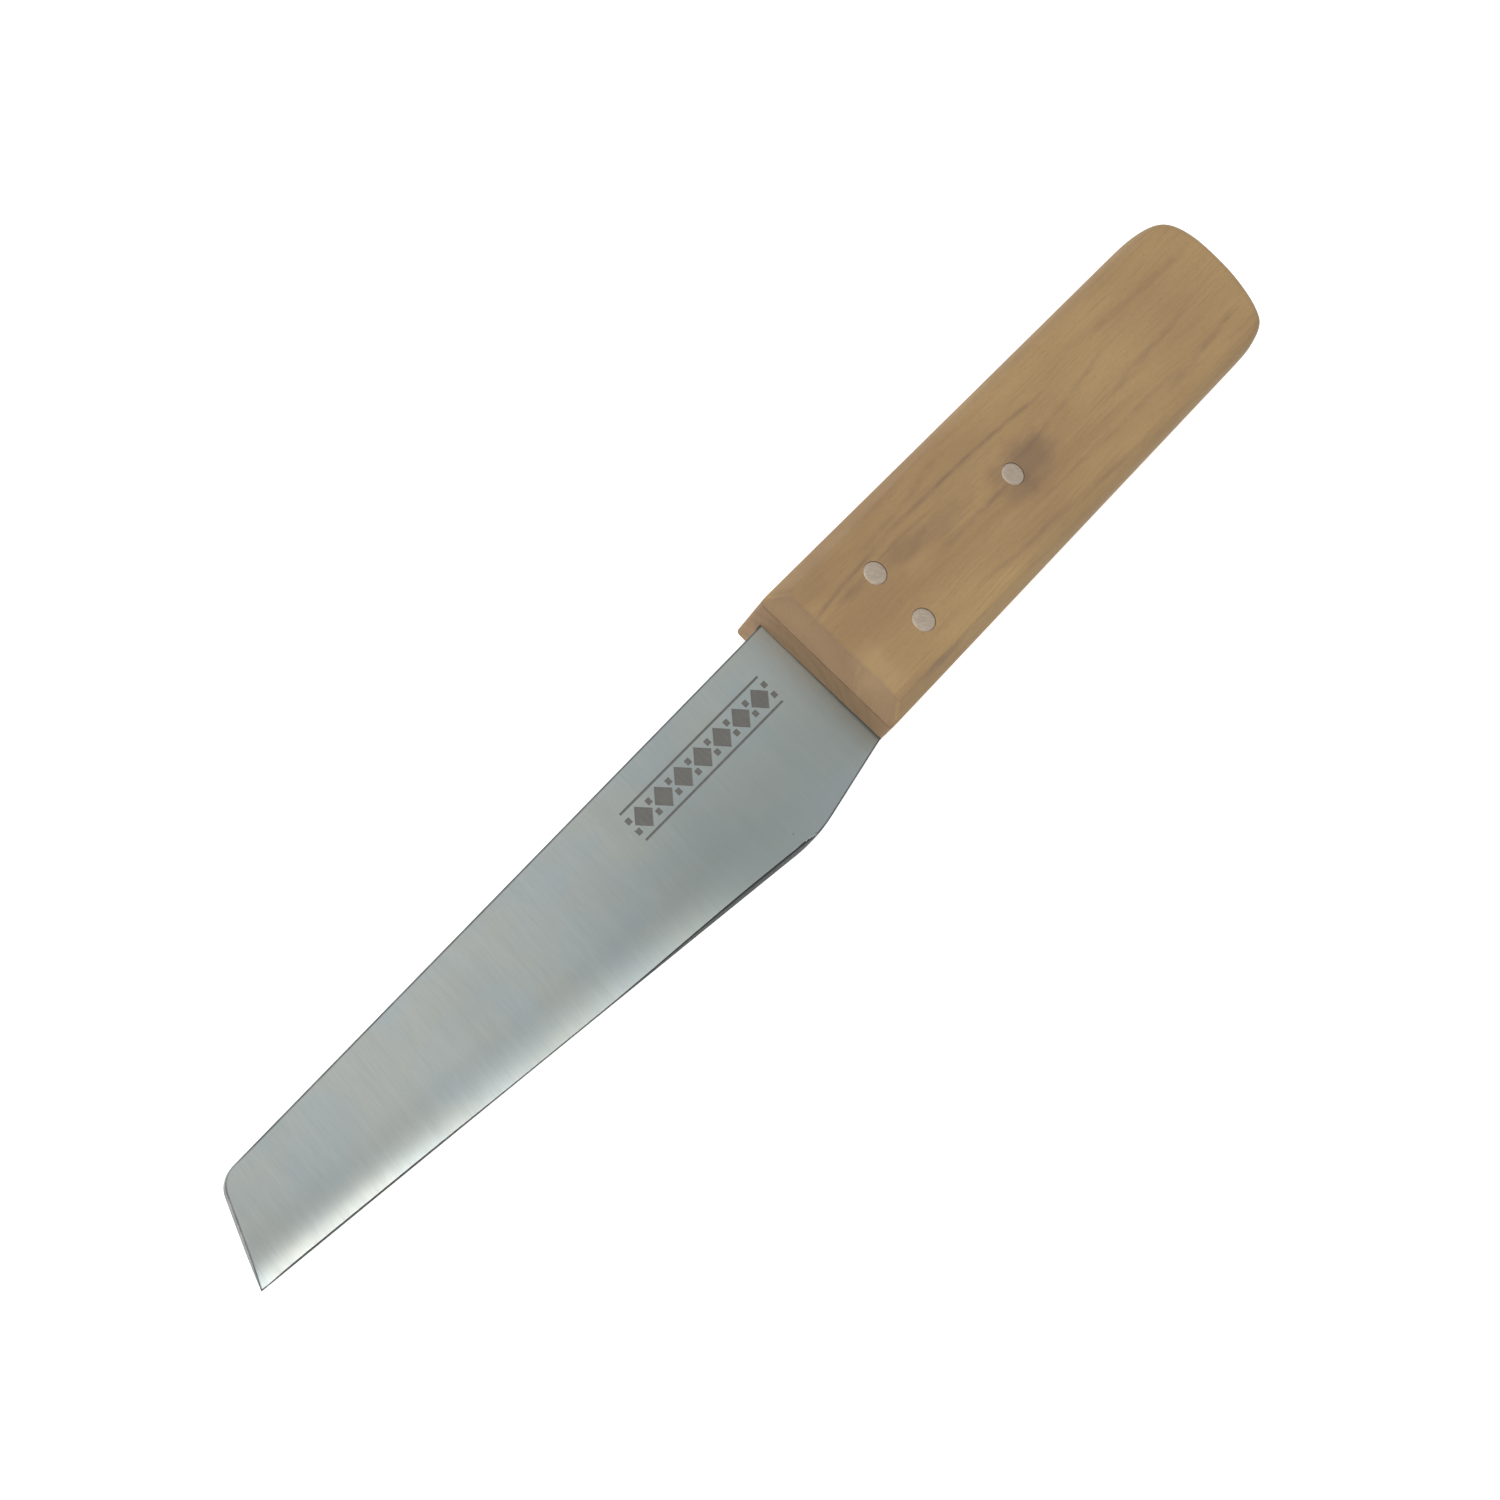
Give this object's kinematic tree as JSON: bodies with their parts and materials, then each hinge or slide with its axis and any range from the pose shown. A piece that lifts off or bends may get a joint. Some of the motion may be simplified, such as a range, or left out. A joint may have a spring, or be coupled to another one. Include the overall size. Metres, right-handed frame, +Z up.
{
  "type": "straight hoof knife",
  "caption": "Straight farrier's knife with a flat ground steel blade, a slanted tip and a riveted one-piece beech handle.",
  "frame": {"origin": "centre of the handle's underside, the flat side that the knife lies on, halfway between the handle's front face and its butt and on its centre line", "axes": "+X along the knife from the handle towards the blade's tip, +Y across it towards the cutting edge, +Z up out of the flat side"},
  "size_m": [0.2114, 0.0271, 0.015],
  "materials": {
    "beech": "matte",
    "blade_steel": "satin",
    "rivet_metal": "satin"
  },
  "bodies": {
    "root": {"handle": "beech", "blade": "blade_steel", "rivet_front_spine": "rivet_metal", "rivet_front_edge": "rivet_metal", "rivet_rear": "rivet_metal"}
  },
  "joints": []
}
